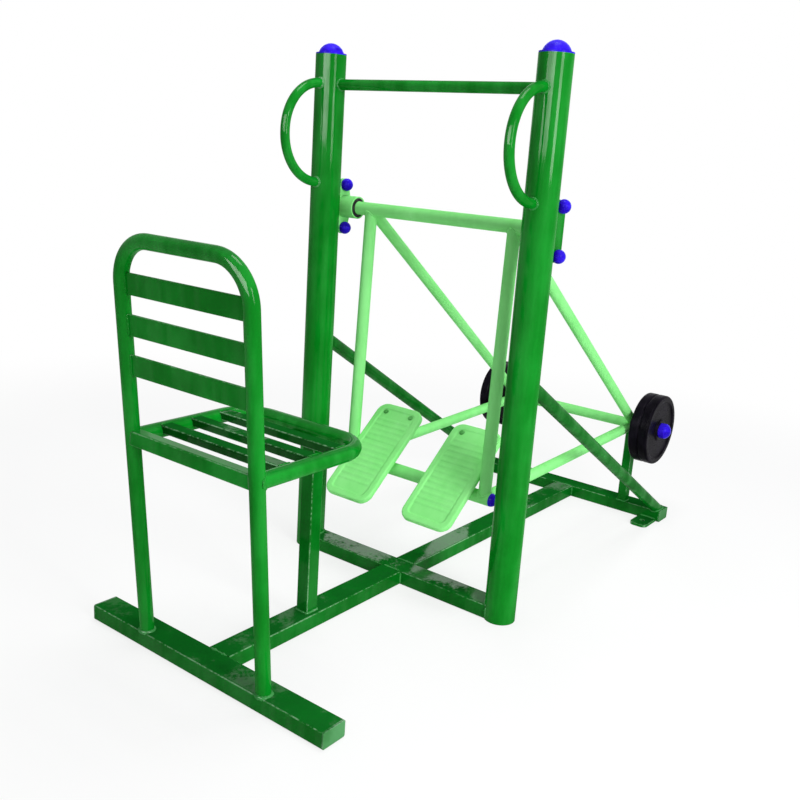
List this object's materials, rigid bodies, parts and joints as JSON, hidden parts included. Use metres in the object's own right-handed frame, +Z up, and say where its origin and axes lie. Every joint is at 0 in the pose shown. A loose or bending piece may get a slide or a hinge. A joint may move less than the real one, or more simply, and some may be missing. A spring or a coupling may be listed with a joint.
{
  "type": "outdoor seated leg press",
  "caption": "Outdoor seated leg press: painted tube frame with a slatted seat, posts with grab handles, and a hinged frame whose foot plates lift weight discs.",
  "frame": {"origin": "on the floor under the crossing of the main beam and the cross beam, midway between the posts", "axes": "+X from the seat to the weights, +Y to the sitter's left, +Z up"},
  "size_m": [1.69, 0.68, 1.271],
  "materials": {
    "dark_green_paint": "gloss",
    "light_green_paint": "satin",
    "blue_plastic": "gloss",
    "black_iron": "satin",
    "black_rubber": "matte",
    "zinc_steel": "satin",
    "bearing_steel": "polished"
  },
  "bodies": {
    "frame": {"front_foot_beam": "dark_green_paint", "rear_foot_beam": "dark_green_paint", "cross_beam": "dark_green_paint", "front_main_beam": "dark_green_paint", "rear_main_beam": "dark_green_paint", "beam_end_plates": "dark_green_paint", "rear_feet": "dark_green_paint", "left_post": "dark_green_paint", "right_post": "dark_green_paint", "post_base_plugs": "dark_green_paint", "top_bar": "dark_green_paint", "left_handle": "dark_green_paint", "right_handle": "dark_green_paint", "left_brace": "dark_green_paint", "right_brace": "dark_green_paint", "left_rest_post": "dark_green_paint", "right_rest_post": "dark_green_paint", "seat_back_frame": "dark_green_paint", "lower_back_slat": "dark_green_paint", "middle_back_slat": "dark_green_paint", "upper_back_slat": "dark_green_paint", "seat_rim": "dark_green_paint", "seat_rear_bar": "dark_green_paint", "seat_slats": "dark_green_paint", "seat_support_post": "dark_green_paint", "seat_support_plate": "dark_green_paint", "left_pivot_bracket": "dark_green_paint", "right_pivot_bracket": "dark_green_paint", "left_bearing_housing": "light_green_paint", "right_bearing_housing": "light_green_paint", "post_caps": "blue_plastic", "bearing_bolt_caps": "blue_plastic", "rest_pads": "black_rubber", "bearing_seals": "black_rubber", "bearing_outer_rings": "bearing_steel", "bearing_balls": "bearing_steel", "bearing_bolts": "zinc_steel", "bearing_nuts": "zinc_steel"},
    "swing": {"pivot_tube": "light_green_paint", "left_hanger": "light_green_paint", "right_hanger": "light_green_paint", "left_diagonal": "light_green_paint", "right_diagonal": "light_green_paint", "left_lower_tube": "light_green_paint", "right_lower_tube": "light_green_paint", "pedal_cross_tube": "light_green_paint", "rear_cross_tube": "light_green_paint", "left_foot_plate": "light_green_paint", "right_foot_plate": "light_green_paint", "pedal_straps": "light_green_paint", "pedal_tube_caps": "blue_plastic", "weight_caps": "blue_plastic", "left_weights": "black_iron", "right_weights": "black_iron", "pivot_shafts": "zinc_steel", "weight_axles": "zinc_steel", "weight_nuts": "zinc_steel", "pedal_screws": "zinc_steel", "bearing_inner_rings": "bearing_steel"}
  },
  "joints": [
    {"name": "swing_pivot", "type": "hinge", "parent": "frame", "child": "swing", "pos_m": [0.064, 0, 0.893], "axis": [0, -1, 0], "range_deg": [0, 35]}
  ]
}
